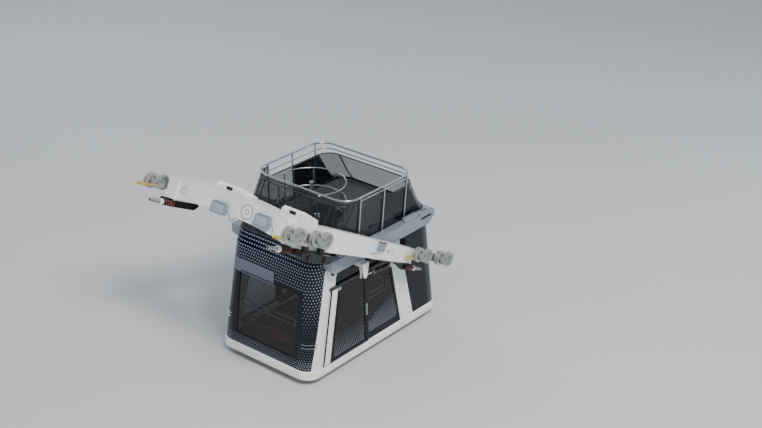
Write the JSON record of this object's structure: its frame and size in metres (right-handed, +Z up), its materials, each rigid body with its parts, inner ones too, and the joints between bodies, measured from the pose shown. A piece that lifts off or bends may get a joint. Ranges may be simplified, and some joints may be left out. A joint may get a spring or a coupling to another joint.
{
  "type": "double deck cable car cabin with its carriage",
  "caption": "Two-deck cable car cabin with an open upper deck, hung level between two side girders that run on wheels along a pair of track ropes.",
  "frame": {"origin": "midway between the two track ropes, on the line of the pivots that carry the cabin", "axes": "+X level and down the line, +Y across the line to the far side, +Z up; the ropes fall towards +X"},
  "size_m": [7.0902, 4.54, 5.0411],
  "materials": {
    "white_paint": "white gloss paint",
    "black_paint": "black satin paint",
    "dark_frame": "dark grey powder coat",
    "lamp_grey": "blue grey paint",
    "galvanised": "galvanised steel",
    "wheel_alloy": "cast and turned",
    "steel_tube": "brushed stainless tube",
    "guide_bronze": "cast bronze",
    "floor_cover": "studded floor cover",
    "dark_glazing": "dark glass with a printed dot border",
    "tinted_glass": "tinted clear glass"
  },
  "bodies": {
    "carriage": {"girder_far": "white_paint", "girder_near": "white_paint", "haul_buffers": "black_paint", "haul_sockets": "galvanised", "pivot_stubs": "galvanised", "rockers_far_down": "galvanised", "rockers_far_up": "galvanised", "rockers_near_down": "galvanised", "rockers_near_up": "galvanised", "rope_brakes": "black_paint", "rope_guides": "guide_bronze", "truck_far_down": "galvanised", "truck_far_up": "galvanised", "truck_near_down": "galvanised", "truck_near_up": "galvanised", "work_lamps": "lamp_grey", "yoke": "white_paint", "yoke_hoods": "white_paint"},
    "cabin": {"base_ring": "white_paint", "belly_pan": "black_paint", "cabin_rails": "steel_tube", "control_desk": "dark_frame", "deck": "dark_frame", "deck_rails": "steel_tube", "door_rails": "dark_frame", "end_panes": "tinted_glass", "end_wall_down": "dark_glazing", "end_wall_up": "dark_glazing", "floor": "floor_cover", "parapet": "tinted_glass", "side_frame_far": "white_paint", "side_frame_near": "white_paint", "side_panes": "tinted_glass", "side_wall_far": "dark_glazing", "side_wall_near": "dark_glazing", "spiral_stair": "steel_tube"},
    "wheel_near_up_1": {"wheel_near_up_1": "wheel_alloy"},
    "wheel_near_up_2": {"wheel_near_up_2": "wheel_alloy"},
    "wheel_near_up_3": {"wheel_near_up_3": "wheel_alloy"},
    "wheel_near_up_4": {"wheel_near_up_4": "wheel_alloy"},
    "wheel_near_down_1": {"wheel_near_down_1": "wheel_alloy"},
    "wheel_near_down_2": {"wheel_near_down_2": "wheel_alloy"},
    "wheel_near_down_3": {"wheel_near_down_3": "wheel_alloy"},
    "wheel_near_down_4": {"wheel_near_down_4": "wheel_alloy"},
    "wheel_far_up_1": {"wheel_far_up_1": "wheel_alloy"},
    "wheel_far_up_2": {"wheel_far_up_2": "wheel_alloy"},
    "wheel_far_up_3": {"wheel_far_up_3": "wheel_alloy"},
    "wheel_far_up_4": {"wheel_far_up_4": "wheel_alloy"},
    "wheel_far_down_1": {"wheel_far_down_1": "wheel_alloy"},
    "wheel_far_down_2": {"wheel_far_down_2": "wheel_alloy"},
    "wheel_far_down_3": {"wheel_far_down_3": "wheel_alloy"},
    "wheel_far_down_4": {"wheel_far_down_4": "wheel_alloy"},
    "cylinder_near": {"cylinder_near": "black_paint"},
    "rod_near": {"rod_near": "steel_tube"},
    "door_near": {"door_near": "dark_glazing", "door_glass_near": "tinted_glass"},
    "cylinder_far": {"cylinder_far": "black_paint"},
    "rod_far": {"rod_far": "steel_tube"},
    "door_far": {"door_far": "dark_glazing", "door_glass_far": "tinted_glass"}
  },
  "joints": [
    {"name": "spin_near_up_1", "type": "hinge", "parent": "carriage", "child": "wheel_near_up_1", "pos_m": [-2.94284, -2.145, 1.63559], "axis": [0, 1, 0], "continuous": true},
    {"name": "spin_near_up_2", "type": "hinge", "parent": "carriage", "child": "wheel_near_up_2", "pos_m": [-2.58062, -2.145, 1.45892], "axis": [0, 1, 0], "continuous": true},
    {"name": "spin_near_up_3", "type": "hinge", "parent": "carriage", "child": "wheel_near_up_3", "pos_m": [-2.03416, -2.145, 1.19239], "axis": [0, 1, 0], "continuous": true},
    {"name": "spin_near_up_4", "type": "hinge", "parent": "carriage", "child": "wheel_near_up_4", "pos_m": [-1.67194, -2.145, 1.01573], "axis": [0, 1, 0], "continuous": true},
    {"name": "spin_near_down_1", "type": "hinge", "parent": "carriage", "child": "wheel_near_down_1", "pos_m": [1.82976, -2.145, -0.69216], "axis": [0, 1, 0], "continuous": true},
    {"name": "spin_near_down_2", "type": "hinge", "parent": "carriage", "child": "wheel_near_down_2", "pos_m": [2.19197, -2.145, -0.86883], "axis": [0, 1, 0], "continuous": true},
    {"name": "spin_near_down_3", "type": "hinge", "parent": "carriage", "child": "wheel_near_down_3", "pos_m": [2.73844, -2.145, -1.13536], "axis": [0, 1, 0], "continuous": true},
    {"name": "spin_near_down_4", "type": "hinge", "parent": "carriage", "child": "wheel_near_down_4", "pos_m": [3.10065, -2.145, -1.31202], "axis": [0, 1, 0], "continuous": true},
    {"name": "spin_far_up_1", "type": "hinge", "parent": "carriage", "child": "wheel_far_up_1", "pos_m": [-2.94284, 2.145, 1.63559], "axis": [0, 1, 0], "continuous": true},
    {"name": "spin_far_up_2", "type": "hinge", "parent": "carriage", "child": "wheel_far_up_2", "pos_m": [-2.58062, 2.145, 1.45892], "axis": [0, 1, 0], "continuous": true},
    {"name": "spin_far_up_3", "type": "hinge", "parent": "carriage", "child": "wheel_far_up_3", "pos_m": [-2.03416, 2.145, 1.19239], "axis": [0, 1, 0], "continuous": true},
    {"name": "spin_far_up_4", "type": "hinge", "parent": "carriage", "child": "wheel_far_up_4", "pos_m": [-1.67194, 2.145, 1.01573], "axis": [0, 1, 0], "continuous": true},
    {"name": "spin_far_down_1", "type": "hinge", "parent": "carriage", "child": "wheel_far_down_1", "pos_m": [1.82976, 2.145, -0.69216], "axis": [0, 1, 0], "continuous": true},
    {"name": "spin_far_down_2", "type": "hinge", "parent": "carriage", "child": "wheel_far_down_2", "pos_m": [2.19197, 2.145, -0.86883], "axis": [0, 1, 0], "continuous": true},
    {"name": "spin_far_down_3", "type": "hinge", "parent": "carriage", "child": "wheel_far_down_3", "pos_m": [2.73844, 2.145, -1.13536], "axis": [0, 1, 0], "continuous": true},
    {"name": "spin_far_down_4", "type": "hinge", "parent": "carriage", "child": "wheel_far_down_4", "pos_m": [3.10065, 2.145, -1.31202], "axis": [0, 1, 0], "continuous": true},
    {"name": "cabin_tilt", "type": "hinge", "parent": "carriage", "child": "cabin", "pos_m": [0, 0, 0], "axis": [0, 1, 0], "range_deg": [-11, 26]},
    {"name": "cylinder_swing_near", "type": "hinge", "parent": "carriage", "child": "cylinder_near", "pos_m": [1.3, -1.7, -0.9], "axis": [0, 1, 0], "range_deg": [-4.6, 2]},
    {"name": "rod_stroke_near", "type": "slide", "parent": "cylinder_near", "child": "rod_near", "axis": [-0.9955, 0, 0.0948], "range_m": [-0.155, 0.362]},
    {"name": "door_slide_near", "type": "slide", "parent": "cabin", "child": "door_near", "axis": [1, 0, 0], "range_m": [0, 1.4]},
    {"name": "cylinder_swing_far", "type": "hinge", "parent": "carriage", "child": "cylinder_far", "pos_m": [1.3, 1.7, -0.9], "axis": [0, 1, 0], "range_deg": [-4.6, 2]},
    {"name": "rod_stroke_far", "type": "slide", "parent": "cylinder_far", "child": "rod_far", "axis": [-0.9955, 0, 0.0948], "range_m": [-0.155, 0.362]},
    {"name": "door_slide_far", "type": "slide", "parent": "cabin", "child": "door_far", "axis": [1, 0, 0], "range_m": [0, 1.4]}
  ],
  "couplings": [
    {"joint": "cylinder_swing_near", "follows": "cabin_tilt", "ratio": -0.17},
    {"joint": "rod_stroke_near", "follows": "cabin_tilt", "m_per_rad": 0.79},
    {"joint": "cylinder_swing_far", "follows": "cabin_tilt", "ratio": -0.17},
    {"joint": "rod_stroke_far", "follows": "cabin_tilt", "m_per_rad": 0.79}
  ]
}
